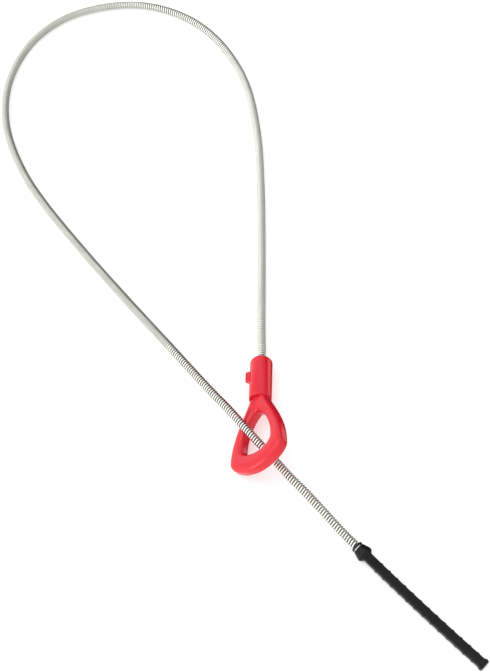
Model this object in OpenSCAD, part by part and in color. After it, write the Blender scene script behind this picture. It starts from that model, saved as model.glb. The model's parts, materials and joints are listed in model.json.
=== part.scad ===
// Flexible dipstick: a moulded handle with a pull loop, a close-wound steel shaft and a marked gauge tip.
// It lies on a flat surface at z = 0, with its shaft brought round and threaded through the pull loop.
// The origin is on that surface, under the middle of the handle. +Y runs along the barrel to its mouth.

/* [Barrel] */
// Length of the barrel, its nose included
barrel_l = 27.2; // [25:0.1:36]
// Outer diameter of the barrel's front, from the nose to the lug, which is a true cylinder
barrel_d = 11.6; // [10:0.1:16]
// Moulding draft: how much the barrel's radius grows from the lug to the rear rim
draft = 0.05; // [0.02:0.01:0.2]
// Length of the coned nose
nose_l = 3; // [1:0.1:5]
// Diameter of the nose's flat tip
nose_tip_d = 5.4; // [5.2:0.1:9]
// Chamfer round the rear rim
rim_chamfer = 0.5; // [0.2:0.1:1]
// Depth of the rear socket that the pull grip plugs into
socket_depth = 10.5; // [7:0.1:11]
// Diameter of the rear socket
socket_d = 8; // [7.6:0.1:9]

/* [Lug] */
// Distance from the mouth to the start of the lug
lug_from_mouth = 9.2; // [5:0.1:12]
// Length of the lug at its root
lug_l = 7.7; // [5:0.1:12]
// Length of the sloped flank at each end of the lug
lug_flank = 1.4; // [0.4:0.1:2.4]
// Height of the lug above the barrel
lug_h = 2.2; // [1:0.1:4]
// Width of the lug round the barrel
lug_w = 2.4; // [1.5:0.1:4]
// Angle of the lug from the plane of the loop
lug_turn = 45; // [0:1:90]

/* [Pull loop] */
// Length of the loop behind the barrel
loop_l = 42.7; // [38:0.1:55]
// Width of the loop
loop_w = 35.2; // [30:0.1:45]
// Width of the neck where it meets the barrel
neck_w = 10.4; // [8:0.1:12]
// Thickness of the loop
loop_t = 6.8; // [5:0.1:9]
// Radius of the loop's rounded edges
loop_edge_r = 2.4; // [1:0.1:2.4]
// Length of the solid neck in front of the finger opening
neck_l = 8.5; // [6:0.1:12]
// Width of each side limb at the widest place
side_limb_w = 7.8; // [5:0.1:9]
// Width of the rear limb
rear_limb_w = 9.9; // [7:0.1:12]

/* [Shaft] */
// Outer diameter of the coil
coil_d = 4.5; // [3.5:0.1:4.6]
// Diameter of the coil's wire
wire_d = 1.3; // [0.8:0.1:1.4]
// Clearance on the radius between the coil and the barrel's bore
coil_clear = 0.15; // [0.05:0.05:0.3]
// Clearance on the radius between the coil and the cable inside it
core_clear = 0.1; // [0.08:0.01:0.2]

/* [Ferrules] */
// Outer diameter of the ferrule in the handle
ferrule_d = 6.4; // [5.4:0.1:7]
// Diameter of that ferrule's flange
flange_d = 7.6; // [7.2:0.1:8]
// Thickness of the flange
flange_t = 1.5; // [0.8:0.1:2]
// Length of the ferrule in front of its flange
ferrule_l = 9.8; // [6:0.1:11]
// Wall of the ferrule in the gauge's collar
tip_wall = 0.3; // [0.2:0.05:0.6]
// Length of the ferrule in the gauge's collar
tip_ferrule_l = 6; // [4:0.1:7]
// Clearance on the radius round each ferrule, and round the spigot
seat_clear = 0.05; // [0.02:0.01:0.1]

/* [Gauge] */
// Length of the gauge from the mouth of its collar
gauge_l = 81; // [60:1:120]
// Width of the blade
blade_w = 4.5; // [4:0.1:7]
// Thickness of the blade
blade_t = 3.4; // [2.5:0.1:5]
// Radius of the blade's slight sideways curve
blade_bend_r = 1400; // [800:50:4000]
// Distance between two nubs, which is one division of the scale
nub_pitch = 5; // [4:0.5:10]
// How far a nub stands proud of the blade
nub_h = 0.25; // [0.15:0.05:0.8]
// Length of a nub along the blade
nub_l = 0.8; // [0.5:0.1:2]
// Width of the blunt head at the blade's end
head_w = 5.8; // [5.2:0.1:9]
// Length of the head
head_l = 2.6; // [1.5:0.1:5]
// Largest diameter of the collar
collar_d = 8.3; // [7.2:0.1:11]
// Distance from the mouth to the collar's widest place
collar_widest = 5.6; // [4.5:0.1:8]
// Width of the separate ring at the mouth
ring_l = 1.1; // [0.6:0.1:1.6]
// Diameter of the ring
ring_d = 6; // [5.8:0.1:8]
// Gap between the ring and the collar, where the ferrule shows
ring_gap = 0.6; // [0.3:0.1:1]

/* [Hidden] */
$fn = 96;
// How the handle lies: its mouth end low, and the loop's right limb raised
handle_pitch = 8.2;
handle_roll = 43;
// Where the gauge's mouth lies, and the heading of its blade
gauge_x = 47.6;
gauge_y = -68.8;
gauge_heading = -46.15;
// The shaft lies with its underside this far above the surface
lie = 0.05;
// Sides of the swept shaft and of its cable, and the distance between two rings
coil_sides = 12;
cable_sides = 8;
ring_step = 11;
// Least length of the tail, which is the last stretch of the shaft
tail_l = 26;

barrel_r = barrel_d / 2;
rear_r = barrel_r + draft;
coil_r = coil_d / 2;
coil_inner_r = coil_r - wire_d;
core_r = coil_inner_r * cos(180 / coil_sides) - core_clear;
bore_r = coil_r + coil_clear;
ferrule_r = ferrule_d / 2;
spigot_l = socket_depth - flange_t;
// Places along the barrel, counted back from the mouth
socket_end = barrel_l - socket_depth;
pocket_end = socket_end - ferrule_l - seat_clear;
coil_end_in_handle = socket_end + flange_t / 3;
// The collar and the tip of the blade rest on the surface, so the gauge tips down a little
gauge_dip = asin((collar_d / 2 - blade_t / 2) / (gauge_l - collar_widest));
tip_r = coil_r + tip_wall;
collar_start = ring_l + ring_gap;
coil_end_in_gauge = tip_ferrule_l;
mouth_at = [0, (barrel_l + loop_l) * cos(handle_pitch) / 2,
            barrel_r * cos(handle_pitch) - nose_l * sin(handle_pitch)];
gauge_at = [gauge_x, gauge_y, collar_d / 2 * cos(gauge_dip) + collar_widest * sin(gauge_dip)];

// The handle's own frame: the mouth at the origin, the barrel behind it along -Y, the loop in the XY plane
module place_handle() {
    translate(mouth_at) rotate([-handle_pitch, 0, 0]) rotate([0, -handle_roll, 0]) children();
}
// The gauge's own frame: the mouth of the collar at the origin, the blade along +X
module place_gauge() {
    translate(gauge_at) rotate([0, gauge_dip, gauge_heading]) children();
}
function on_barrel_axis(y) = mouth_at + y * [0, cos(handle_pitch), -sin(handle_pitch)];
function on_gauge_axis(x) = gauge_at + x * [cos(gauge_heading) * cos(gauge_dip),
                                            sin(gauge_heading) * cos(gauge_dip), -sin(gauge_dip)];

// The shaft's route: out of the handle, round the large loop, up through the pull loop and down to the gauge
lie_z = coil_r + lie;
route = concat(
    [for (y = [-coil_end_in_handle, -8, 0, 5]) on_barrel_axis(y)],
    [
        [-0.4, 50, 3.4], [-0.7, 62, 2.6], [-0.9, 75, lie_z], [-1.6, 110, lie_z], [-3, 150, lie_z],
        [-5.5, 185, lie_z], [-11.7, 220, lie_z], [-22, 246, lie_z], [-37.5, 268.5, lie_z],
        [-57, 284, lie_z], [-80, 292, lie_z], [-104, 291, lie_z], [-127, 282, lie_z], [-145, 264, lie_z],
        [-155, 240, lie_z], [-157.5, 215, lie_z], [-153, 189, lie_z], [-141, 161, lie_z],
        [-125, 136, lie_z], [-101, 105, lie_z], [-75, 73.5, 2.6], [-49.5, 43, 4.4], [-37, 27.5, 6.2],
        [-24.5, 12, 8.4], [-16, 2, 9.9], [-8, -8, 10.9], [-0.5, -17, 11], [7, -25.5, 10.4],
        [14.5, -34, 9.3], [22, -41.5, 8.1], [30, -50, 6.8]
    ],
    [for (x = [-10, 0, coil_end_in_gauge]) on_gauge_axis(x)]
);

// A smooth curve through a list of points, at u = 0 on the first and u = 1 on the second
function before(points, i) = i > 0 ? points[i - 1] : 2 * points[0] - points[1];
function after(points, i) = i < len(points) - 1 ? points[i + 1] : 2 * points[i] - points[i - 1];
function curve(points, u) =
    let (i = min(floor(u), len(points) - 2), t = u - i,
         a = points[i], b = points[i + 1],
         ta = (b - before(points, i)) / 2, tb = (after(points, i + 1) - a) / 2)
    (2 * t * t * t - 3 * t * t + 1) * a + (t * t * t - 2 * t * t + t) * ta
    + (3 * t * t - 2 * t * t * t) * b + (t * t * t - t * t) * tb;
// Points of the route about ring_step apart, as many in each span as it needs
function resample(points) =
    [for (i = [0 : len(points) - 2])
        let (parts = max(1, round(norm(points[i + 1] - points[i]) / ring_step)))
        for (k = [0 : parts - 1]) curve(points, i + k / parts),
     points[len(points) - 1]];
function unit(v) = v / norm(v);
// A ring of n points round point i of a path, square to it
function ring_at(path, i, r, n) =
    let (ahead = unit(path[min(i + 1, len(path) - 1)] - path[max(i - 1, 0)]),
         side = unit(cross(ahead, [0, 0, 1])), up = cross(side, ahead))
    [for (j = [0 : n - 1]) path[i] + r * (cos(360 * j / n) * side + sin(360 * j / n) * up)];

// Faces of a skin over m rings of n points, the first point being number "from"
function skin(m, n, from, inward) =
    [for (i = [0 : m - 2], j = [0 : n - 1])
        let (a = from + i * n + j, b = from + i * n + (j + 1) % n)
        inward ? [a + n, b + n, b, a] : [a, b, b + n, a + n]];
function flat(lists) = [for (list = lists) for (item = list) item];

// Rings first to last of a path, swept as a solid rod or as a tube
module swept_rod(path, first, last, r, n) {
    m = last - first + 1;
    polyhedron(
        flat([for (i = [first : last]) ring_at(path, i, r, n)]),
        concat(skin(m, n, 0, false), [[for (j = [n - 1 : -1 : 0]) j]],
               [[for (j = [0 : n - 1]) (m - 1) * n + j]]),
        convexity = 8);
}
module swept_tube(path, first, last, r_out, r_in, n) {
    m = last - first + 1;
    inner = m * n;
    end = (m - 1) * n;
    polyhedron(
        concat(flat([for (i = [first : last]) ring_at(path, i, r_out, n)]),
               flat([for (i = [first : last]) ring_at(path, i, r_in, n)])),
        concat(skin(m, n, 0, false), skin(m, n, inner, true),
               [for (j = [0 : n - 1]) let (k = (j + 1) % n) [inner + j, inner + k, k, j]],
               [for (j = [0 : n - 1]) let (k = (j + 1) % n)
                   [end + j, end + k, inner + end + k, inner + end + j]]),
        convexity = 8);
}

// The rings of the route, and the number of the ring where the tail starts
rings = resample(route);
function length_from(path, i) =
    i >= len(path) - 1 ? 0 : norm(path[i + 1] - path[i]) + length_from(path, i + 1);
tail_start = max([for (i = [0 : len(rings) - 1]) if (length_from(rings, i) >= tail_l) i]);
last_ring = len(rings) - 1;

// The loop's outlines, from the neck to the middle of the rear limb, right half only. x is across the
// barrel's axis and y is behind its rear face. Each is two curves that meet at the loop's widest place.
// The neck runs on past that face, where it is cut off square.
function bezier(p, t) = pow(1 - t, 3) * p[0] + 3 * pow(1 - t, 2) * t * p[1] + 3 * (1 - t) * t * t * p[2]
    + pow(t, 3) * p[3];
outer_widest = -0.77 * loop_l;
inner_w = loop_w - 2 * side_limb_w;
inner_l = loop_l - rear_limb_w;
inner_widest = outer_widest + 5.8;
outer_side = [[neck_w / 2, 0], [neck_w / 2 + 2.6, -6.8], [loop_w / 2, outer_widest + 14.5],
              [loop_w / 2, outer_widest]];
outer_rear = [[loop_w / 2, outer_widest], [loop_w / 2, outer_widest - 5.2], [7.5, -loop_l], [0, -loop_l]];
inner_side = [[0, -neck_l], [3.6, -neck_l], [inner_w / 2, inner_widest + 9.4], [inner_w / 2, inner_widest]];
inner_rear = [[inner_w / 2, inner_widest], [inner_w / 2, inner_widest - 3.9], [4.6, -inner_l], [0, -inner_l]];
side_steps = 10;
rear_steps = 8;
neck_run = 3;
right_outer = concat([[0, neck_run], [neck_w / 2, neck_run]],
                     [for (i = [0 : side_steps]) bezier(outer_side, i / side_steps)],
                     [for (i = [1 : rear_steps]) bezier(outer_rear, i / rear_steps)]);
right_inner = concat([for (i = [0 : side_steps + 2]) bezier(inner_side, i / (side_steps + 2))],
                     [for (i = [1 : rear_steps]) bezier(inner_rear, i / rear_steps)]);
half_rings = len(right_outer);
// The limb's section between an outer and an inner point, with rounded edges
function limb_section(outer, inner) =
    let (w = norm(inner - outer), d = (inner - outer) / w, r = min(loop_edge_r, w / 2.2))
    [for (corner = [[w - r, 1, 0], [r, 1, 90], [r, -1, 180], [w - r, -1, 270]], a = [0 : 30 : 90])
        let (u = corner[0] + r * cos(corner[2] + a),
             z = corner[1] * (loop_t / 2 - r) + r * sin(corner[2] + a))
        [outer[0] + u * d[0], outer[1] + u * d[1], z]];
function mirrored(section) = [for (p = section) [-p[0], p[1], p[2]]];

module loop_body() {
    half = [for (i = [0 : half_rings - 1]) limb_section(right_outer[i], right_inner[i])];
    sections = concat(half, [for (i = [half_rings - 2 : -1 : 1]) mirrored(half[i])]);
    m = len(sections);
    n = len(sections[0]);
    polyhedron(
        flat(sections),
        [for (i = [0 : m - 1], j = [0 : n - 1])
            let (k = (i + 1) % m, l = (j + 1) % n) each [
                [i * n + j, i * n + l, k * n + l],
                [i * n + j, k * n + l, k * n + j]]],
        convexity = 6);
}

module barrel_lug() {
    root_r = barrel_r - 1;
    top_r = barrel_r + lug_h;
    start = -lug_from_mouth;
    rotate([0, lug_turn, 0]) linear_extrude(lug_w, center = true)
        polygon([[-root_r, start], [-barrel_r, start], [-top_r, start - lug_flank],
                 [-top_r, start - lug_l + lug_flank], [-barrel_r, start - lug_l], [-root_r, start - lug_l]]);
}

module barrel() {
    color("crimson") place_handle() union() {
        rotate([-90, 0, 0]) rotate_extrude() polygon([
            [bore_r, 0], [nose_tip_d / 2, 0], [barrel_r, -nose_l],
            [barrel_r, -lug_from_mouth], [rear_r, -barrel_l + rim_chamfer],
            [rear_r - rim_chamfer, -barrel_l],
            [socket_d / 2, -barrel_l], [socket_d / 2, -socket_end],
            [ferrule_r + seat_clear, -socket_end], [ferrule_r + seat_clear, -pocket_end],
            [bore_r, -pocket_end]]);
        barrel_lug();
    }
}

module pull_grip() {
    stub = 2;
    color("crimson") place_handle() translate([0, -barrel_l, 0]) union() {
        difference() {
            loop_body();
            translate([-neck_w, 0, -loop_t]) cube([2 * neck_w, neck_run + 1, 2 * loop_t]);
        }
        translate([0, -stub, 0]) rotate([-90, 0, 0])
            cylinder(r = socket_d / 2 - seat_clear, h = stub + spigot_l);
    }
}

module handle_ferrule() {
    color("silver") place_handle() rotate([-90, 0, 0]) rotate_extrude() polygon([
        [coil_r, -pocket_end - seat_clear], [ferrule_r, -pocket_end - seat_clear],
        [ferrule_r, -socket_end], [flange_d / 2, -socket_end],
        [flange_d / 2, -socket_end - flange_t], [core_r + seat_clear, -socket_end - flange_t],
        [core_r + seat_clear, -coil_end_in_handle], [coil_r, -coil_end_in_handle]]);
}

module coil_loop() {
    color("lightgray") swept_tube(rings, 0, tail_start, coil_r, coil_inner_r, coil_sides);
}

module coil_tail() {
    color("lightgray") swept_tube(rings, tail_start, last_ring, coil_r, coil_inner_r, coil_sides);
}

module core_cable() {
    color("dimgray") swept_rod(rings, 0, last_ring, core_r, cable_sides);
}

module tip_ferrule() {
    color("gainsboro") place_gauge() rotate([0, 90, 0]) difference() {
        cylinder(r = tip_r, h = tip_ferrule_l);
        translate([0, 0, -1]) cylinder(r = coil_r, h = tip_ferrule_l + 2);
    }
}

module collar_ring() {
    color("black") place_gauge() rotate([0, 90, 0]) difference() {
        cylinder(d = ring_d, h = ring_l);
        translate([0, 0, -1]) cylinder(r = tip_r, h = ring_l + 2);
    }
}

// A point s along the blade's curved middle line and v to its left
function on_blade(s, v) =
    let (turn = s / blade_bend_r * 180 / PI)
    [blade_bend_r * sin(turn) - v * sin(turn), blade_bend_r * (1 - cos(turn)) + v * cos(turn)];
first_nub = ceil((collar_widest + 5) / nub_pitch) * nub_pitch;
last_nub = gauge_l - head_l - 2;
function nub_edge(side) = flat([for (s = [first_nub : nub_pitch : last_nub]) [
    on_blade(s - nub_l, side * blade_w / 2), on_blade(s - nub_l / 2, side * (blade_w / 2 + nub_h)),
    on_blade(s + nub_l / 2, side * (blade_w / 2 + nub_h)), on_blade(s + nub_l, side * blade_w / 2)]]);
function head_edge(side) = [
    on_blade(gauge_l - head_l, side * blade_w / 2), on_blade(gauge_l - head_l / 2, side * head_w / 2),
    on_blade(gauge_l, side * head_w / 2.3)];
function reversed(list) = [for (i = [len(list) - 1 : -1 : 0]) list[i]];

module gauge() {
    blade_start = tip_ferrule_l + 0.5;
    shoulder = max(collar_widest + 0.6, blade_start);
    color("#232323") place_gauge() union() {
        rotate([0, 90, 0]) rotate_extrude() polygon([
            [tip_r, collar_start], [ring_d / 2, collar_start], [collar_d / 2 - 0.3, collar_widest - 0.6],
            [collar_d / 2, collar_widest], [collar_d / 2 - 0.3, shoulder],
            [blade_w / 2 - 0.5, shoulder + 1.8], [0, shoulder + 1.8], [0, blade_start],
            [tip_r, blade_start]]);
        linear_extrude(blade_t, center = true) polygon(concat(
            [on_blade(blade_start, blade_w / 2)], nub_edge(1), head_edge(1),
            reversed(head_edge(-1)), reversed(nub_edge(-1)), [on_blade(blade_start, -blade_w / 2)]));
    }
}

barrel();
pull_grip();
handle_ferrule();
coil_loop();
coil_tail();
core_cable();
tip_ferrule();
collar_ring();
gauge();
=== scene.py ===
# Flexible dipstick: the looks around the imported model, in metres and in its frame.
import json
import math

import bmesh
import bpy
import numpy as np
from mathutils import Matrix, Vector


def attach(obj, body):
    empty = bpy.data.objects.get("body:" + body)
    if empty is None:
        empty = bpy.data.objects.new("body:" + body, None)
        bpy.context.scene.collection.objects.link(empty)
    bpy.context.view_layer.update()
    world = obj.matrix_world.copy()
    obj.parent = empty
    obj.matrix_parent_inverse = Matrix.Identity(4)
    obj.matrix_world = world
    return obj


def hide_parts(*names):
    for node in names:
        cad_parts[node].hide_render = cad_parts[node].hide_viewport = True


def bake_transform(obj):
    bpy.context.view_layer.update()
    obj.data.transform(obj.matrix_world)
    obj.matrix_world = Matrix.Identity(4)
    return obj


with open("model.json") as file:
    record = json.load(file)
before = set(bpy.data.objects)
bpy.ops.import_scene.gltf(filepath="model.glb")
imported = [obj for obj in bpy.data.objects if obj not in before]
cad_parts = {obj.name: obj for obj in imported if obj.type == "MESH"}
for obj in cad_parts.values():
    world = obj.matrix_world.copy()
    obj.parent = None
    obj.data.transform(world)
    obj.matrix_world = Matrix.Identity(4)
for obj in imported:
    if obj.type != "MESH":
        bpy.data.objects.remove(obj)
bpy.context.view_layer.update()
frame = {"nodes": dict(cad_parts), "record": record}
mm = 0.001
print("frame loaded:", ", ".join(sorted(frame["nodes"])))


# Places that more than one piece uses. The handle's frame has its mouth at the origin, the barrel along -Y
# and the pull loop in the XY plane. The gauge's frame has its mouth at the origin and the blade along +X.
handleLie = {"pitch": 8.2, "roll": 43, "noseLength": 3}
gaugeLie = {"x": 47.6, "y": -68.8, "heading": -46.15}
barrelSizes = {
    "length": 27.2, "radius": 5.8, "rearRadius": 5.85, "noseTipRadius": 2.7, "boreRadius": 2.4,
    "socketRadius": 4, "socketDepth": 10.5, "pocketRadius": 3.25, "pocketLength": 9.85,
    "shoulderRound": 0.7, "tipRound": 0.15, "rimRound": 0.45, "socketRound": 0.25, "spinSteps": 96,
}
gaugeSizes = {
    "length": 81, "bladeWidth": 4.5, "bladeThickness": 3.4, "bendRadius": 1400,
    "nubPitch": 5, "nubHeight": 0.25, "nubLength": 0.8, "headWidth": 5.8, "headLength": 2.6,
    "collarRadius": 4.15, "collarWidest": 5.6, "ringLength": 1.1, "ringRadius": 3, "ringGap": 0.6,
    "ferruleRadius": 2.55, "ferruleLength": 6,
}

pin = next(m for m in frame["record"]["mounts"] if m["name"] == "barrel_front")
pinAxis = Vector(pin["axis"]).normalized()
mouthAt = Vector(pin["pos_m"]) + pinAxis * (handleLie["noseLength"] + pin["dims"]["length_mm"] / 2) * mm
handleFrame = (
    Matrix.Translation(mouthAt)
    @ Matrix.Rotation(math.radians(-handleLie["pitch"]), 4, "X")
    @ Matrix.Rotation(math.radians(-handleLie["roll"]), 4, "Y")
)
# the gauge rests on its collar and on the far end of its blade
gaugeDip = math.asin(
    (gaugeSizes["collarRadius"] - gaugeSizes["bladeThickness"] / 2)
    / (gaugeSizes["length"] - gaugeSizes["collarWidest"])
)
gaugeAt = Vector((
    gaugeLie["x"], gaugeLie["y"],
    gaugeSizes["collarRadius"] * math.cos(gaugeDip) + gaugeSizes["collarWidest"] * math.sin(gaugeDip),
)) * mm
gaugeFrame = (
    Matrix.Translation(gaugeAt)
    @ Matrix.Rotation(math.radians(gaugeLie["heading"]), 4, "Z")
    @ Matrix.Rotation(gaugeDip, 4, "Y")
)


# Camera

cameraSet = {
    "at": (0.0235, -0.3094, 0.5945), "yaw": 5.2, "down": 58.65, "roll": 4.22,
    "lens": 70.2, "sensor": 36, "near": 0.01,
}


def makeCamera():
    data = bpy.data.cameras.new("camera")
    data.lens = cameraSet["lens"]
    data.sensor_width = cameraSet["sensor"]
    data.clip_start = cameraSet["near"]
    camera = bpy.data.objects.new("camera", data)
    bpy.context.collection.objects.link(camera)
    camera.matrix_world = (
        Matrix.Translation(cameraSet["at"])
        @ Matrix.Rotation(math.radians(cameraSet["yaw"]), 4, "Z")
        @ Matrix.Rotation(math.radians(90 - cameraSet["down"]), 4, "X")
        @ Matrix.Rotation(math.radians(-cameraSet["roll"]), 4, "Z")
    )
    bpy.context.scene.camera = camera


makeCamera()
print("camera made")


# The shaft. Its route repeats the one the frame was made with.

shaft = {
    "coilRadius": 2.25, "wire": 1.3, "pitch": 1.441, "turnSteps": 16, "endInHandle": 17.2, "endInGauge": 6,
    "lie": 2.3, "tail": (30, -50), "spanSteps": 30, "pathStep": 3,
}
cableSizes = {"radius": 0.8, "strands": 6, "strandRadius": 0.265, "layLength": 11, "step": 0.8}
lie = shaft["lie"]
along = mouthAt / mm
shaftRoute = [
    *[along + pinAxis * y for y in (-shaft["endInHandle"], -8, 0, 5)],
    (-0.4, 50, 3.4), (-0.7, 62, 2.6), (-0.9, 75, lie), (-1.6, 110, lie), (-3, 150, lie),
    (-5.5, 185, lie), (-11.7, 220, lie), (-22, 246, lie), (-37.5, 268.5, lie),
    (-57, 284, lie), (-80, 292, lie), (-104, 291, lie), (-127, 282, lie), (-145, 264, lie),
    (-155, 240, lie), (-157.5, 215, lie), (-153, 189, lie), (-141, 161, lie),
    (-125, 136, lie), (-101, 105, lie), (-75, 73.5, 2.6), (-49.5, 43, 4.4), (-37, 27.5, 6.2),
    (-24.5, 12, 8.4), (-16, 2, 9.9), (-8, -8, 10.9), (-0.5, -17, 11), (7, -25.5, 10.4),
    (14.5, -34, 9.3), (22, -41.5, 8.1), (30, -50, 6.8),
    *[gaugeFrame @ Vector((x * mm, 0, 0)) / mm for x in (-10, 0, shaft["endInGauge"])],
]


def smoothLine(points, steps):
    # the same curve as the frame's: it passes through every point, with slopes taken from the neighbours
    p = np.array([tuple(q) for q in points]) * mm
    p = np.vstack([2 * p[0] - p[1], p, 2 * p[-1] - p[-2]])
    line = [p[1]]
    for before, a, b, after in zip(p, p[1:], p[2:], p[3:]):
        t = (np.arange(steps)[:, None] + 1) / steps
        line.extend(
            (2 * t**3 - 3 * t**2 + 1) * a + (t**3 - 2 * t**2 + t) * (b - before) / 2
            + (3 * t**2 - 2 * t**3) * b + (t**3 - t**2) * (after - a) / 2
        )
    return np.array(line)


def unit(v):
    return v / np.linalg.norm(v, axis=1)[:, None]


shaftLine = smoothLine(shaftRoute, shaft["spanSteps"])
shaftRun = np.concatenate([[0], np.cumsum(np.linalg.norm(np.diff(shaftLine, axis=0), axis=1))])
shaftSlope = unit(np.gradient(shaftLine, shaftRun, axis=0))
shaftLength = float(shaftRun[-1])
tailNear = np.linalg.norm(shaftLine[:, :2] - np.array(shaft["tail"]) * mm, axis=1)
tailStart = float(shaftRun[tailNear.argmin()])


def onShaft(s):
    # centre, left and up of the shaft at distances s along it
    centre = np.stack([np.interp(s, shaftRun, shaftLine[:, k]) for k in range(3)], axis=1)
    ahead = unit(np.stack([np.interp(s, shaftRun, shaftSlope[:, k]) for k in range(3)], axis=1))
    left = unit(np.cross((0, 0, 1), ahead))
    return centre, left, np.cross(ahead, left)


def woundWires(name, runs, radius):
    # a round wire along each run of points, with closed ends, as one mesh
    curve = bpy.data.curves.new(name, "CURVE")
    curve.dimensions = "3D"
    curve.bevel_depth = radius
    curve.bevel_resolution = 2
    curve.use_fill_caps = True
    for points in runs:
        spline = curve.splines.new("POLY")
        spline.points.add(len(points) - 1)
        spline.points.foreach_set("co", np.hstack([points, np.ones((len(points), 1))]).ravel())
    holder = bpy.data.objects.new(name, curve)
    mesh = bpy.data.meshes.new_from_object(holder)
    bpy.data.objects.remove(holder)
    bpy.data.curves.remove(curve)
    mesh.shade_smooth()
    mesh.name = name
    piece = bpy.data.objects.new(name, mesh)
    bpy.context.collection.objects.link(piece)
    return piece


def helix(first, last, step, radius, pitch, turn=0):
    s = np.linspace(first, last, int(round((last - first) / step)) + 1)
    centre, left, up = onShaft(s)
    phase = (2 * math.pi * s / pitch + turn)[:, None]
    return centre + radius * (np.cos(phase) * left + np.sin(phase) * up), centre


def markOutward(piece, centre):
    # stores 0 on the coil's inside and 1 on its outside, so that the grooves can be given painted shade
    co = np.array([v.co for v in piece.data.vertices])
    nearest = np.minimum(np.arange(len(co)) // (len(co) // len(centre)), len(centre) - 1)
    far = np.linalg.norm(co - centre[nearest], axis=1)
    inner = (shaft["coilRadius"] - shaft["wire"]) * mm
    level = piece.data.attributes.new("outward", "FLOAT", "POINT")
    level.data.foreach_set("value", ((far - inner) / (shaft["wire"] * mm)).astype(np.float32))


def makeCoil(name, first, last):
    pitch = shaft["pitch"] * mm
    wireAt = (shaft["coilRadius"] - shaft["wire"] / 2) * mm
    points, centre = helix(first, last, pitch / shaft["turnSteps"], wireAt, pitch)
    piece = woundWires(name, [points], shaft["wire"] / 2 * mm)
    markOutward(piece, centre)
    return piece


def makeCable(name, first, last):
    strandAt = (cableSizes["radius"] - cableSizes["strandRadius"]) * mm
    step = cableSizes["step"] * mm
    lay = cableSizes["layLength"] * mm
    turns = [2 * math.pi * k / cableSizes["strands"] for k in range(cableSizes["strands"])]
    runs = [helix(first, last, step, strandAt, lay, turn)[0] for turn in turns]
    runs.append(helix(first, last, step, 0, lay)[0])
    return woundWires(name, runs, cableSizes["strandRadius"] * mm)


coilLoop = makeCoil("coilLoop", 0, tailStart)
coilTail = makeCoil("coilTail", tailStart, shaftLength)
cableLoop = makeCable("cableLoop", 0, tailStart)
cableTail = makeCable("cableTail", tailStart, shaftLength)
print("shaft made:", round(shaftLength, 4), "m,", round(shaftLength / shaft["pitch"] / mm), "turns")

# where the shaft bends at the two joints
tailBend = ((14.5, -34, 9.3), (29.5, -49.5, 6.9))
gaugeBend = ((31, -51, 6.6), (46.6, -67.7, 4.5))
for piece, bodies, ends in (
    (coilLoop, ("handle", "tail"), tailBend), (cableLoop, ("handle", "tail"), tailBend),
    (coilTail, ("tail", "gauge"), gaugeBend), (cableTail, ("tail", "gauge"), gaugeBend),
):
    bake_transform(piece)


# Shared modelling helpers, which work in millimetres

# how close counts as the same point, as level, as on a ring's edge and as on the middle line
modelling = {"weld": 0.0005, "level": 0.001, "onRing": 0.002, "middle": 0.001}


def meshPiece(bm, name, place=Matrix.Identity(4), sharp=35):
    # turns a bmesh in millimetres into a piece in the model's frame, in metres
    bmesh.ops.remove_doubles(bm, verts=bm.verts, dist=modelling["weld"])
    bmesh.ops.recalc_face_normals(bm, faces=bm.faces)
    bm.transform(place @ Matrix.Scale(mm, 4))
    mesh = bpy.data.meshes.new(name)
    bm.to_mesh(mesh)
    bm.free()
    mesh.shade_smooth()
    mesh.set_sharp_from_angle(angle=math.radians(sharp))
    piece = bpy.data.objects.new(name, mesh)
    bpy.context.collection.objects.link(piece)
    return piece


def lathe(profile, axis, steps):
    # a closed ring of (radius, along) corners spun round the X or Y axis
    bm = bmesh.new()
    turn = Vector((1, 0, 0)) if axis == "X" else Vector((0, 1, 0))
    out = Vector((0, 0, 1))
    verts = [bm.verts.new(turn * a + out * r) for r, a in profile]
    edges = [bm.edges.new((v, w)) for v, w in zip(verts, verts[1:] + verts[:1])]
    bmesh.ops.spin(
        bm, geom=verts + edges, cent=(0, 0, 0), axis=turn, angle=2 * math.pi, steps=steps, use_merge=True
    )
    return bm, turn


def roundRing(bm, turn, radius, place, size, segments):
    # rounds the circular edge at that radius and place along the axis
    def onRing(v):
        a = v.co.dot(turn)
        off = (v.co - turn * a).length - radius
        return abs(a - place) < modelling["onRing"] and abs(off) < modelling["onRing"]

    edges = [e for e in bm.edges if all(onRing(v) for v in e.verts)]
    bmesh.ops.bevel(
        bm, geom=edges, offset=size, offset_type="OFFSET", segments=segments, profile=0.5,
        affect="EDGES", material=-1, clamp_overlap=True
    )


def isLevel(edge):
    return abs(edge.verts[0].co.z - edge.verts[1].co.z) < modelling["level"]


def combined(base, extra, operation="UNION"):
    # one closed mesh from two that overlap
    step = base.modifiers.new("combine", "BOOLEAN")
    step.operation = operation
    step.solver = "EXACT"
    step.object = extra
    made = bpy.data.meshes.new_from_object(base.evaluated_get(bpy.context.evaluated_depsgraph_get()))
    base.modifiers.clear()
    old = base.data
    base.data = made
    made.name = base.name
    bpy.data.meshes.remove(old)
    bpy.data.objects.remove(extra)
    return base


# Barrel

lugSizes = {
    "fromMouth": 9.2, "length": 7.7, "flank": 1.4, "height": 2.2, "width": 2.4, "sunk": 1,
    "turn": 45, "round": 0.35,
}


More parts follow.
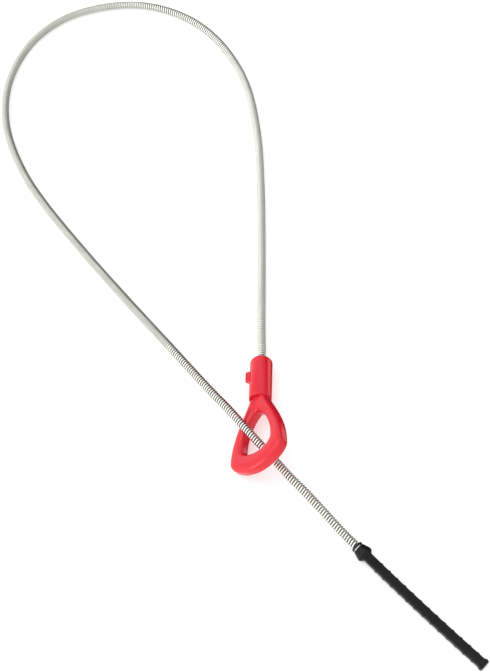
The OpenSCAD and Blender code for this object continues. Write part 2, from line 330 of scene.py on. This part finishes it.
def makeBarrel():
    s = barrelSizes
    g = lugSizes
    nose = -handleLie["noseLength"]
    rear = -s["length"]
    socketEnd = rear + s["socketDepth"]
    pocketEnd = socketEnd + s["pocketLength"]
    bm, turn = lathe([
        (s["boreRadius"], 0), (s["noseTipRadius"], 0), (s["radius"], nose), (s["radius"], -g["fromMouth"]),
        (s["rearRadius"], rear), (s["socketRadius"], rear), (s["socketRadius"], socketEnd),
        (s["pocketRadius"], socketEnd), (s["pocketRadius"], pocketEnd), (s["boreRadius"], pocketEnd),
    ], "Y", s["spinSteps"])
    roundRing(bm, turn, s["radius"], nose, s["shoulderRound"], segments=5)
    roundRing(bm, turn, s["noseTipRadius"], 0, s["tipRound"], segments=2)
    roundRing(bm, turn, s["rearRadius"], rear, s["rimRound"], segments=5)
    roundRing(bm, turn, s["socketRadius"], rear, s["socketRound"], segments=2)
    barrel = meshPiece(bm, "barrelShell", handleFrame)

    # the lug, sunk into the barrel's wall, with both ends slanted
    top = s["radius"] + g["height"]
    root = s["radius"] - g["sunk"]
    bm = bmesh.new()
    bmesh.ops.create_cube(bm, size=1)
    bmesh.ops.scale(bm, verts=bm.verts, vec=(top - root, g["length"], g["width"]))
    bmesh.ops.translate(
        bm, verts=bm.verts, vec=(-(top + root) / 2, -g["fromMouth"] - g["length"] / 2, 0)
    )
    outer = [v for v in bm.verts if v.co.x < -s["radius"]]
    bmesh.ops.scale(
        bm, verts=outer, vec=(1, 1 - 2 * g["flank"] / g["length"], 1),
        space=Matrix.Translation((0, g["fromMouth"] + g["length"] / 2, 0))
    )
    edges = [e for e in bm.edges if any(v in outer for v in e.verts)]
    bmesh.ops.bevel(
        bm, geom=edges, offset=g["round"], segments=4, profile=0.5, affect="EDGES", material=-1
    )
    lug = meshPiece(bm, "lug", handleFrame @ Matrix.Rotation(math.radians(g["turn"]), 4, "Y"))
    return combined(barrel, lug)


barrelShell = makeBarrel()
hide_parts("barrel")
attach(barrelShell, "handle")
print("barrel made")


# Pull loop

loopSizes = {
    "length": 42.7, "width": 35.2, "neckWidth": 10.4, "thickness": 6.8, "edgeRound": 2.4, "neckLength": 8.5,
    "sideLimb": 7.8, "rearLimb": 9.9, "widestShare": 0.77, "innerWidestLead": 5.8,
    "spigotLength": 9, "spigotRadius": 3.95, "spigotSunk": 2, "neckRun": 9,
    "sideSteps": 14, "rearSteps": 12, "edgeSegments": 6,
    "pinMark": (7, -10), "pinMarkRadius": 1, "pinMarkDepth": 0.08, "pinMarkCutter": 2,
}
# how far an outline's two curves are pulled: at the neck, before and after the widest place and at the end
outerPulls = {"neck": (2.6, -6.8), "side": 14.5, "rear": 5.2, "end": 7.5}
innerPulls = {"neck": (3.6, 0), "side": 9.4, "rear": 3.9, "end": 4.6}


def bezier(points, steps, skip=0):
    for k in range(skip, steps + 1):
        t = k / steps
        weights = ((1 - t) ** 3, 3 * (1 - t) ** 2 * t, 3 * (1 - t) * t * t, t**3)
        yield sum((Vector(q) * w for q, w in zip(points, weights)), Vector((0, 0)))


def loopOutline(start, wide, widest, long, pulls, lead=()):
    # a whole outline from its right half: two curves that meet at the widest place
    s = loopSizes
    x, y = start
    pullX, pullY = pulls["neck"]
    side = [(x, y), (x + pullX, y + pullY), (wide, widest + pulls["side"]), (wide, widest)]
    rear = [(wide, widest), (wide, widest - pulls["rear"]), (pulls["end"], -long), (0, -long)]
    half = [*lead, *bezier(side, s["sideSteps"]), *bezier(rear, s["rearSteps"], 1)]
    return half + [Vector((-p.x, p.y)) for p in reversed(half) if p.x > modelling["middle"]]


def makePullLoop():
    s = loopSizes
    neck = s["neckWidth"] / 2
    wide = s["width"] / 2
    long = s["length"]
    widest = -s["widestShare"] * long
    outer = loopOutline((neck, 0), wide, widest, long, outerPulls, [Vector((neck, s["neckRun"]))])
    inner = loopOutline(
        (0, -s["neckLength"]), wide - s["sideLimb"], widest + s["innerWidestLead"], long - s["rearLimb"],
        innerPulls
    )
    bm = bmesh.new()
    rims = []
    for outline in (outer, inner):
        verts = [bm.verts.new((p.x, p.y, -s["thickness"] / 2)) for p in outline]
        rims += [bm.edges.new((v, w)) for v, w in zip(verts, verts[1:] + verts[:1])]
    bmesh.ops.triangle_fill(bm, use_beauty=True, edges=rims, normal=(0, 0, 1))
    made = bmesh.ops.extrude_face_region(bm, geom=list(bm.faces), use_keep_orig=True)
    top = [g for g in made["geom"] if isinstance(g, bmesh.types.BMVert)]
    bmesh.ops.translate(bm, verts=top, vec=(0, 0, s["thickness"]))
    bmesh.ops.recalc_face_normals(bm, faces=bm.faces)
    edges = [e for e in bm.edges if isLevel(e) and len(e.link_faces) == 2 and e.calc_face_angle(0) > 1]
    bmesh.ops.bevel(
        bm, geom=edges, offset=s["edgeRound"], segments=s["edgeSegments"], profile=0.5,
        affect="EDGES", material=-1
    )
    # the neck is cut off square where it meets the barrel's rear face
    cut = bmesh.ops.bisect_plane(
        bm, geom=[*bm.verts, *bm.edges, *bm.faces], plane_co=(0, 0, 0), plane_no=(0, 1, 0), clear_outer=True
    )
    rim = [e for e in cut["geom_cut"] if isinstance(e, bmesh.types.BMEdge)]
    bmesh.ops.holes_fill(bm, edges=rim, sides=0)
    rear = handleFrame @ Matrix.Translation((0, -barrelSizes["length"] * mm, 0))
    loop = meshPiece(bm, "pullLoop", rear)

    bm = bmesh.new()
    bmesh.ops.create_cone(
        bm, cap_ends=True, segments=64, radius1=s["spigotRadius"], radius2=s["spigotRadius"],
        depth=s["spigotLength"] + s["spigotSunk"]
    )
    bmesh.ops.rotate(bm, verts=bm.verts, cent=(0, 0, 0), matrix=Matrix.Rotation(math.radians(90), 3, "X"))
    bmesh.ops.translate(bm, verts=bm.verts, vec=(0, (s["spigotLength"] - s["spigotSunk"]) / 2, 0))
    loop = combined(loop, meshPiece(bm, "spigot", rear))

    # the mark that an ejector pin leaves on the upper face, behind the neck
    x, y = s["pinMark"]
    z = s["thickness"] / 2 - s["pinMarkDepth"] + s["pinMarkCutter"] / 2
    bm = bmesh.new()
    bmesh.ops.create_cone(
        bm, cap_ends=True, segments=48, radius1=s["pinMarkRadius"], radius2=s["pinMarkRadius"],
        depth=s["pinMarkCutter"], matrix=Matrix.Translation((x, y, z))
    )
    return combined(loop, meshPiece(bm, "pinMark", rear), "DIFFERENCE")


pullLoop = makePullLoop()
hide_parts("pull_grip")
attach(pullLoop, "handle")
print("pull loop made")


# Gauge

gaugeDetail = {
    "bladeRound": 0.45, "bladeSharp": 30, "firstNub": 5, "lastNub": 2, "headNarrowing": 2.3, "dimple": 0.9,
    "ferruleGap": 0.5, "throatStep": 0.12, "throatLength": 0.6, "shoulderStep": 0.3, "shoulderRound": 0.3,
    "tailLength": 1.8, "tailInset": 0.5, "axisGap": 0.3, "collarSteps": 72, "ringSteps": 64,
    "ringRound": 0.35, "markHeight": 0.09, "markWidth": 0.3, "longMark": 1.5, "shortMark": 0.7,
}


def onBlade(s, v):
    # a point s along the blade's slightly bent middle line and v to its left
    r = gaugeSizes["bendRadius"]
    turn = s / r
    return Vector((r * math.sin(turn) - v * math.sin(turn), r * (1 - math.cos(turn)) + v * math.cos(turn)))


def nubPlaces():
    g = gaugeSizes
    first = math.ceil((g["collarWidest"] + gaugeDetail["firstNub"]) / g["nubPitch"]) * g["nubPitch"]
    last = int(g["length"] - g["headLength"] - gaugeDetail["lastNub"])
    return range(first, last + 1, g["nubPitch"])


def makeBlade():
    g = gaugeSizes
    d = gaugeDetail
    half = g["bladeWidth"] / 2
    start = g["ferruleLength"] + d["ferruleGap"]
    head = g["length"] - g["headLength"]
    sides = []
    for side in (1, -1):
        low = side * half
        high = side * (half + g["nubHeight"])
        edge = [onBlade(start, low)]
        for s in nubPlaces():
            edge += [
                onBlade(s - g["nubLength"], low), onBlade(s - g["nubLength"] / 2, high),
                onBlade(s + g["nubLength"] / 2, high), onBlade(s + g["nubLength"], low),
            ]
        edge += [
            onBlade(head, low), onBlade(head + g["headLength"] / 2, side * g["headWidth"] / 2),
            onBlade(g["length"], side * g["headWidth"] / d["headNarrowing"]),
        ]
        sides.append(edge)
    outline = sides[1] + sides[0][::-1]
    bm = bmesh.new()
    face = bm.faces.new([bm.verts.new((p.x, p.y, -g["bladeThickness"] / 2)) for p in outline])
    made = bmesh.ops.extrude_face_region(bm, geom=[face], use_keep_orig=True)
    top = [v for v in made["geom"] if isinstance(v, bmesh.types.BMVert)]
    bmesh.ops.translate(bm, verts=top, vec=(0, 0, g["bladeThickness"]))
    bmesh.ops.bevel(
        bm, geom=[e for e in bm.edges if isLevel(e)], offset=d["bladeRound"], segments=3, profile=0.5,
        affect="EDGES", material=-1, clamp_overlap=True
    )
    blade = meshPiece(bm, "gaugeBlade", gaugeFrame, d["bladeSharp"])

    # the collar: a throat that flares to the widest place, then a shoulder and a tail inside the blade
    throat = g["ringLength"] + g["ringGap"]
    shoulder = g["collarRadius"] - d["shoulderStep"]
    tail = start + d["tailLength"]
    bm, turn = lathe([
        (g["ferruleRadius"], throat), (g["ringRadius"], throat),
        (g["collarRadius"] - d["throatStep"], g["collarWidest"] - d["throatLength"]),
        (g["collarRadius"], g["collarWidest"]), (shoulder, start), (half - d["tailInset"], tail),
        (d["axisGap"], tail), (d["axisGap"], start), (g["ferruleRadius"], start),
    ], "X", d["collarSteps"])
    roundRing(bm, turn, g["collarRadius"], g["collarWidest"], d["shoulderRound"], segments=3)
    roundRing(bm, turn, shoulder, start, d["shoulderRound"], segments=3)
    blade = combined(blade, meshPiece(bm, "collar", gaugeFrame))

    # the small hollow in the head's end
    end = onBlade(g["length"], 0)
    bm = bmesh.new()
    bmesh.ops.create_uvsphere(
        bm, u_segments=32, v_segments=16, radius=d["dimple"],
        matrix=Matrix.Translation((end.x + d["dimple"] / 2, end.y, 0))
    )
    return combined(blade, meshPiece(bm, "dimple", gaugeFrame), "DIFFERENCE")


gaugeBlade = makeBlade()
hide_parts("gauge")
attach(gaugeBlade, "gauge")


def makeScale():
    # raised marks across the blade's upper face, longer at each nub
    g = gaugeSizes
    d = gaugeDetail
    bm = bmesh.new()
    places = nubPlaces()
    for s in range(places[0] - g["nubPitch"] + 1, places[-1] + g["nubPitch"]):
        reach = d["longMark"] if s % g["nubPitch"] == 0 else d["shortMark"]
        made = bmesh.ops.create_cube(bm, size=1)["verts"]
        bmesh.ops.scale(bm, verts=made, vec=(d["markWidth"], 2 * reach, 2 * d["markHeight"]))
        turn = Matrix.Rotation(s / g["bendRadius"], 3, "Z")
        bmesh.ops.rotate(bm, verts=made, cent=(0, 0, 0), matrix=turn)
        at = onBlade(s, 0)
        bmesh.ops.translate(bm, verts=made, vec=(at.x, at.y, g["bladeThickness"] / 2))
    return meshPiece(bm, "scaleMarks", gaugeFrame)


scaleMarks = makeScale()
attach(scaleMarks, "gauge")


def makeCollarRing():
    g = gaugeSizes
    bm, turn = lathe([
        (g["ferruleRadius"], 0), (g["ringRadius"], 0), (g["ringRadius"], g["ringLength"]),
        (g["ferruleRadius"], g["ringLength"]),
    ], "X", gaugeDetail["ringSteps"])
    for place in (0, g["ringLength"]):
        roundRing(bm, turn, g["ringRadius"], place, gaugeDetail["ringRound"], segments=4)
    return meshPiece(bm, "collarRing", gaugeFrame)


collarRing = makeCollarRing()
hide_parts("collar_ring")
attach(collarRing, "gauge")
print("gauge made")


# The shaft's CAD parts, which the wound coil and cable replace, are hidden; the two ferrules stay

handleFerrule = frame["nodes"]["handle_ferrule"]
tipFerrule = frame["nodes"]["tip_ferrule"]
for piece, node, slotName in (
    (coilLoop, "coil_loop", "coil_steel"), (coilTail, "coil_tail", "coil_steel"),
    (cableLoop, "core_cable", "cable_steel"), (cableTail, "core_cable", "cable_steel"),
):
    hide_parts(node)


# Materials

plasticLooks = {
    "redPlastic": {
        "tone": (0.73, 0.009, 0.026), "cloud": 0.06, "gloss": 0.18, "grainSize": 2600, "grainHeight": 0.012,
        "specular": 0.45, "coat": 0.2,
    },
    "blackPlastic": {
        "tone": (0.004, 0.004, 0.0045), "cloud": 0.8, "gloss": 0.34, "grainSize": 1500, "grainHeight": 0.25,
        "specular": 0.25,
    },
    "ringRubber": {
        "tone": (0.006, 0.006, 0.007), "cloud": 0.3, "gloss": 0.35, "grainSize": 3000, "grainHeight": 0.05,
        "specular": 0.4,
    },
}
metalLooks = {
    "ferruleSteel": {
        "clean": (0.6, 0.59, 0.56), "dull": (0.38, 0.37, 0.35), "rubSize": 500, "roughness": 0.24,
    },
    "cableSteel": {
        "clean": (0.5, 0.5, 0.48), "dull": (0.32, 0.31, 0.29), "rubSize": 900, "roughness": 0.35,
    },
    "coilSteel": {
        "clean": (0.95, 0.95, 0.89), "dull": (0.82, 0.82, 0.75), "rubSize": 260, "roughness": 0.14,
        # the coil's grooves get painted shade: a near-black tone on the wire's inside that is gone on its
        # outside
        "grooveShade": {"tone": (0.03, 0.028, 0.022), "full": 0.72, "gone": 0.95},
    },
}
skinSet = {
    "cloudSize": 90, "cloudMiddle": 0.5, "glossPerCloud": 0.6, "grainReach": 0.0004, "coatGloss": 0.05,
}
rubSet = {"low": 0.35, "high": 0.75, "dulling": 0.12, "bumpShare": 0.08, "bumpReach": 0.00005}


def group(name, inputs):
    # an empty shader node group with the given inputs, which gives a colour, a roughness and a normal
    tree = bpy.data.node_groups.new(name, "ShaderNodeTree")
    for label, kind in inputs:
        tree.interface.new_socket(name=label, in_out="INPUT", socket_type="NodeSocket" + kind)
    for label, kind in (("Color", "Color"), ("Roughness", "Float"), ("Normal", "Vector")):
        tree.interface.new_socket(name=label, in_out="OUTPUT", socket_type="NodeSocket" + kind)
    return tree, tree.nodes.new("NodeGroupInput"), tree.nodes.new("NodeGroupOutput")


def addNode(tree, kind, **settings):
    made = tree.nodes.new("ShaderNode" + kind)
    for key, value in settings.items():
        if key in made.inputs:
            made.inputs[key].default_value = value
        else:
            setattr(made, key, value)
    return made


def sums(tree, operation, first, second, third=None):
    # a maths node, with a number or a linked socket for each of its inputs
    made = addNode(tree, "Math", operation=operation)
    for socket, value in zip(made.inputs, (first, second, third)):
        if isinstance(value, bpy.types.NodeSocket):
            tree.links.new(value, socket)
        elif value is not None:
            socket.default_value = value
    return made.outputs[0]


def spread(tree, value, low, high, top=1):
    # a value from low to high, spread out over 0 to top
    made = addNode(tree, "MapRange", **{"From Min": low, "From Max": high, "To Max": top})
    tree.links.new(value, made.inputs["Value"])
    return made.outputs["Result"]


def mouldGroup():
    # what an injection moulding shows: a slight cloud in its colour and gloss, and a fine skin
    tree, given, out = group("mouldedSkin", (
        ("Tone", "Color"), ("Cloud", "Float"), ("Gloss", "Float"), ("Grain Size", "Float"),
        ("Grain Height", "Float"),
    ))
    link = tree.links.new
    place = addNode(tree, "TexCoord")
    cloud = addNode(tree, "TexNoise", Scale=skinSet["cloudSize"], Detail=3)
    grain = addNode(tree, "TexNoise", Detail=2)
    link(place.outputs["Object"], cloud.inputs["Vector"])
    link(place.outputs["Object"], grain.inputs["Vector"])
    link(given.outputs["Grain Size"], grain.inputs["Scale"])
    centred = sums(tree, "SUBTRACT", cloud.outputs["Fac"], skinSet["cloudMiddle"])
    amount = sums(tree, "MULTIPLY", centred, given.outputs["Cloud"])
    rough = sums(tree, "MULTIPLY_ADD", amount, skinSet["glossPerCloud"], given.outputs["Gloss"])
    tone = addNode(tree, "HueSaturation")
    link(given.outputs["Tone"], tone.inputs["Color"])
    link(sums(tree, "ADD", amount, 1), tone.inputs["Value"])
    bump = addNode(tree, "Bump", Distance=skinSet["grainReach"])
    link(given.outputs["Grain Height"], bump.inputs["Strength"])
    link(grain.outputs["Fac"], bump.inputs["Height"])
    link(tone.outputs["Color"], out.inputs["Color"])
    link(rough, out.inputs["Roughness"])
    link(bump.outputs["Normal"], out.inputs["Normal"])
    return tree


def wornGroup():
    # fine wear on drawn or turned metal: a rub pattern in tone and roughness
    tree, given, out = group("rubbedMetal", (
        ("Clean", "Color"), ("Dull", "Color"), ("Rub Size", "Float"), ("Roughness", "Float"),
    ))
    link = tree.links.new
    place = addNode(tree, "TexCoord")
    rub = addNode(tree, "TexNoise", Detail=5, Roughness=0.65)
    link(place.outputs["Object"], rub.inputs["Vector"])
    link(given.outputs["Rub Size"], rub.inputs["Scale"])
    mask = spread(tree, rub.outputs["Fac"], rubSet["low"], rubSet["high"])
    tone = addNode(tree, "Mix", data_type="RGBA")
    link(mask, tone.inputs["Factor"])
    link(given.outputs["Clean"], tone.inputs[6])
    link(given.outputs["Dull"], tone.inputs[7])
    bump = addNode(tree, "Bump", Strength=rubSet["bumpShare"], Distance=rubSet["bumpReach"])
    link(rub.outputs["Fac"], bump.inputs["Height"])
    link(tone.outputs[2], out.inputs["Color"])
    rough = sums(tree, "MULTIPLY_ADD", mask, rubSet["dulling"], given.outputs["Roughness"])
    link(rough, out.inputs["Roughness"])
    link(bump.outputs["Normal"], out.inputs["Normal"])
    return tree


mouldedSkin = mouldGroup()
rubbedMetal = wornGroup()


def newMaterial(name):
    material = bpy.data.materials.new(name)
    material.use_nodes = True
    return material, material.node_tree.nodes["Principled BSDF"]


def grouped(shader, shared, **settings):
    # a shared group, set for one material and linked to its shader
    tree = shader.id_data
    made = tree.nodes.new("ShaderNodeGroup")
    made.node_tree = shared
    for label, value in settings.items():
        made.inputs[label].default_value = value
    tree.links.new(made.outputs["Color"], shader.inputs["Base Color"])
    tree.links.new(made.outputs["Roughness"], shader.inputs["Roughness"])
    tree.links.new(made.outputs["Normal"], shader.inputs["Normal"])
    return made


def mouldedPlastic(name, tone, cloud, gloss, grainSize, grainHeight, specular, coat=0):
    material, shader = newMaterial(name)
    grouped(shader, mouldedSkin, **{
        "Tone": (*tone, 1), "Cloud": cloud, "Gloss": gloss, "Grain Size": grainSize,
        "Grain Height": grainHeight,
    })
    shader.inputs["Specular IOR Level"].default_value = specular
    shader.inputs["Coat Weight"].default_value = coat
    shader.inputs["Coat Roughness"].default_value = skinSet["coatGloss"]
    return material


def addGrooveShade(shader, bare, tone, full, gone):
    # painted shade: a dark tone in the grooves between the turns, where shade falls, which is gone on the
    # wire's outside
    tree = shader.id_data
    level = addNode(tree, "Attribute", attribute_name="outward")
    mixed = addNode(tree, "Mix", data_type="RGBA")
    mixed.inputs[6].default_value = (*tone, 1)
    tree.links.new(spread(tree, level.outputs["Fac"], full, gone), mixed.inputs["Factor"])
    tree.links.new(bare, mixed.inputs[7])
    tree.links.new(mixed.outputs[2], shader.inputs["Base Color"])


def bareMetal(name, clean, dull, rubSize, roughness, grooveShade=None):
    material, shader = newMaterial(name)
    rub = grouped(shader, rubbedMetal, **{
        "Clean": (*clean, 1), "Dull": (*dull, 1), "Rub Size": rubSize, "Roughness": roughness,
    })
    shader.inputs["Metallic"].default_value = 1
    # painted shade in the grooves, used by the coil only
    if grooveShade:
        addGrooveShade(shader, rub.outputs["Color"], **grooveShade)
    return material


materials = {
    **{name: mouldedPlastic(name, **look) for name, look in plasticLooks.items()},
    **{name: bareMetal(name, **look) for name, look in metalLooks.items()},
}


def dress(piece, name):
    piece.data.materials.clear()
    piece.data.materials.append(materials[name])


for piece, name in (
    (barrelShell, "redPlastic"), (pullLoop, "redPlastic"), (gaugeBlade, "blackPlastic"),
    (scaleMarks, "blackPlastic"), (collarRing, "ringRubber"), (coilLoop, "coilSteel"),
    (coilTail, "coilSteel"), (cableLoop, "cableSteel"), (cableTail, "cableSteel"),
    (handleFerrule, "ferruleSteel"), (tipFerrule, "ferruleSteel"),
):
    dress(piece, name)
print("materials made")


# Floor and light

# Tones run from the side away from darkTowards, at -1, to the side that it points to, at 1. Each pane is a
# bright patch in the room: where it is, the cosines at which it starts and is full, and its tone.
studio = {
    "floorSize": 8, "floorTone": 0.8, "floorGlow": 0.4, "floorRoughness": 0.9, "floorSpecular": 0.1,
    "darkTowards": (0.5, 0.75, -0.43),
    "roomTones": (
        (-0.12, 1), (-0.05, 0.45), (0.02, 1), (0.34, 1), (0.42, 0.5), (0.57, 0.42), (0.65, 0.01),
    ),
    "panes": (
        ((0.78, 0.61, -0.12), (0.94, 0.98), 1), ((-0.84, -0.5, 0.2), (0.9, 0.97), 3),
        ((0.31, 0.11, -0.94), (0.91, 0.96), 1.3),
    ),
    "overhead": {"at": (-0.7, 0.2, 1.3), "aim": (-0.03, 0.08, 0), "energy": 5, "size": 1.4},
}


def makeFloor():
    bm = bmesh.new()
    bmesh.ops.create_grid(bm, x_segments=1, y_segments=1, size=studio["floorSize"] / 2 / mm)
    floor = meshPiece(bm, "floor")
    material, shader = newMaterial("floorPaper")
    tone = studio["floorTone"]
    shader.inputs["Base Color"].default_value = (tone, tone, tone, 1)
    shader.inputs["Roughness"].default_value = studio["floorRoughness"]
    shader.inputs["Specular IOR Level"].default_value = studio["floorSpecular"]
    shader.inputs["Emission Color"].default_value = (1, 1, 1, 1)
    shader.inputs["Emission Strength"].default_value = studio["floorGlow"]
    floor.data.materials.append(material)
    # mirrored rays go through the floor to the lower half of the room
    floor.visible_glossy = False


def nearness(tree, direction, towards):
    # the cosine between where a ray goes and the given direction
    made = addNode(tree, "VectorMath", operation="DOT_PRODUCT")
    made.inputs[1].default_value = Vector(towards).normalized()
    tree.links.new(direction, made.inputs[0])
    return made.outputs["Value"]


def makeWorld():
    # a white room with one dark side and bright panes, which give the metal and the plastic their edges
    world = bpy.data.worlds.new("studio")
    bpy.context.scene.world = world
    world.use_nodes = True
    tree = world.node_tree
    tree.nodes.clear()
    link = tree.links.new
    direction = addNode(tree, "TexCoord").outputs["Generated"]
    shade = addNode(tree, "ValToRGB")
    link(spread(tree, nearness(tree, direction, studio["darkTowards"]), -1, 1), shade.inputs["Fac"])
    stops = shade.color_ramp.elements
    while len(stops) < len(studio["roomTones"]):
        stops.new(0.5)
    for stop, (at, tone) in zip(stops, studio["roomTones"]):
        stop.position = (at + 1) / 2
        stop.color = (tone, tone, tone, 1)
    light = shade.outputs["Color"]
    for towards, (edge, full), tone in studio["panes"]:
        lit = addNode(tree, "Mix", data_type="RGBA", blend_type="LIGHTEN", Factor=1)
        link(light, lit.inputs[6])
        link(spread(tree, nearness(tree, direction, towards), edge, full, tone), lit.inputs[7])
        light = lit.outputs[2]
    room = addNode(tree, "Background")
    link(light, room.inputs["Color"])
    # the camera itself sees plain white behind the floor
    backdrop = addNode(tree, "Background", Color=(1, 1, 1, 1))
    ray = addNode(tree, "LightPath")
    pick = addNode(tree, "MixShader")
    link(ray.outputs["Is Camera Ray"], pick.inputs["Fac"])
    link(room.outputs[0], pick.inputs[1])
    link(backdrop.outputs[0], pick.inputs[2])
    out = addNode(tree, "OutputWorld")
    link(pick.outputs[0], out.inputs["Surface"])


def makeLamp(name, at, aim, energy, size):
    data = bpy.data.lights.new(name, "AREA")
    data.energy = energy
    data.size = size
    lamp = bpy.data.objects.new(name, data)
    bpy.context.collection.objects.link(lamp)
    lamp.location = at
    lamp.rotation_euler = (Vector(aim) - lamp.location).to_track_quat("-Z", "Y").to_euler()


makeFloor()
makeWorld()
makeLamp("overhead", **studio["overhead"])
bpy.context.scene.view_settings.view_transform = "Standard"
print("floor and light made")
